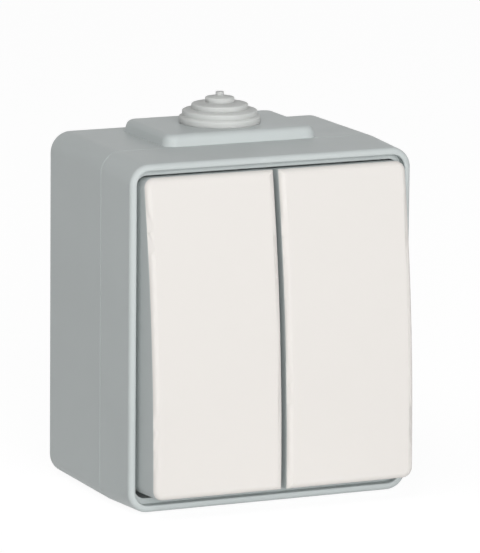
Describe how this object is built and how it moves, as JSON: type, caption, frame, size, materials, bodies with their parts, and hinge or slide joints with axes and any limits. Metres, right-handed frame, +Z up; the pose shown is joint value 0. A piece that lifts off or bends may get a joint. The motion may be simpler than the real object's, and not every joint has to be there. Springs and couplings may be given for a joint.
{
  "type": "weatherproof double rocker switch",
  "caption": "Surface-mounted damp-proof light switch: grey two-shell box, two convex rockers with white faces and a stepped rubber cable gland on top.",
  "frame": {"origin": "centre of the back face, on the wall", "axes": "+X to the right seen from the front, +Y into the wall, +Z up"},
  "size_m": [0.066, 0.0514, 0.0848],
  "materials": {
    "housing": "fine satin moulding, light grey",
    "gland": "soft matt light grey",
    "seal": "matt black",
    "steel": "zinc plated",
    "mechanism": "matt dark grey moulding",
    "brass": "bare pressed brass",
    "contact": "silver contact alloy",
    "rocker": "smooth semi-gloss warm white",
    "carrier": "fine satin moulding, light grey",
    "actuator": "self-lubricating natural white plastic"
  },
  "bodies": {
    "housing": {"back_box": "housing", "front_cover": "housing", "cover_gasket": "seal", "cable_gland": "gland", "rocker_membrane": "seal", "cover_screws": "steel", "mechanism_base": "mechanism", "mechanism_cap": "mechanism", "mechanism_screws": "steel", "common_terminal": "brass", "left_terminal": "brass", "right_terminal": "brass", "terminal_clamps": "brass", "terminal_screws": "steel", "fixed_contacts": "contact"},
    "left_rocker": {"left_rocker": "carrier", "left_rocker_face": "rocker", "left_actuator": "actuator", "left_plunger": "actuator", "left_plunger_spring": "steel"},
    "left_contact": {"left_contact_lever": "brass", "left_moving_contact": "contact"},
    "right_rocker": {"right_rocker": "carrier", "right_rocker_face": "rocker", "right_actuator": "actuator", "right_plunger": "actuator", "right_plunger_spring": "steel"},
    "right_contact": {"right_contact_lever": "brass", "right_moving_contact": "contact"}
  },
  "joints": [
    {"name": "left_rocker_tilt", "type": "hinge", "parent": "housing", "child": "left_rocker", "pos_m": [-0.01537, -0.0376, 0], "axis": [1, 0, 0], "range_deg": [0, 10]},
    {"name": "left_contact_tilt", "type": "hinge", "parent": "housing", "child": "left_contact", "pos_m": [-0.01537, -0.018, 0], "axis": [1, 0, 0], "range_deg": [-8, 0]},
    {"name": "right_rocker_tilt", "type": "hinge", "parent": "housing", "child": "right_rocker", "pos_m": [0.01537, -0.0376, 0], "axis": [1, 0, 0], "range_deg": [0, 10]},
    {"name": "right_contact_tilt", "type": "hinge", "parent": "housing", "child": "right_contact", "pos_m": [0.01537, -0.018, 0], "axis": [1, 0, 0], "range_deg": [-8, 0]}
  ],
  "couplings": [
    {"joint": "left_contact_tilt", "follows": "left_rocker_tilt", "ratio": -0.8},
    {"joint": "right_contact_tilt", "follows": "right_rocker_tilt", "ratio": -0.8}
  ]
}
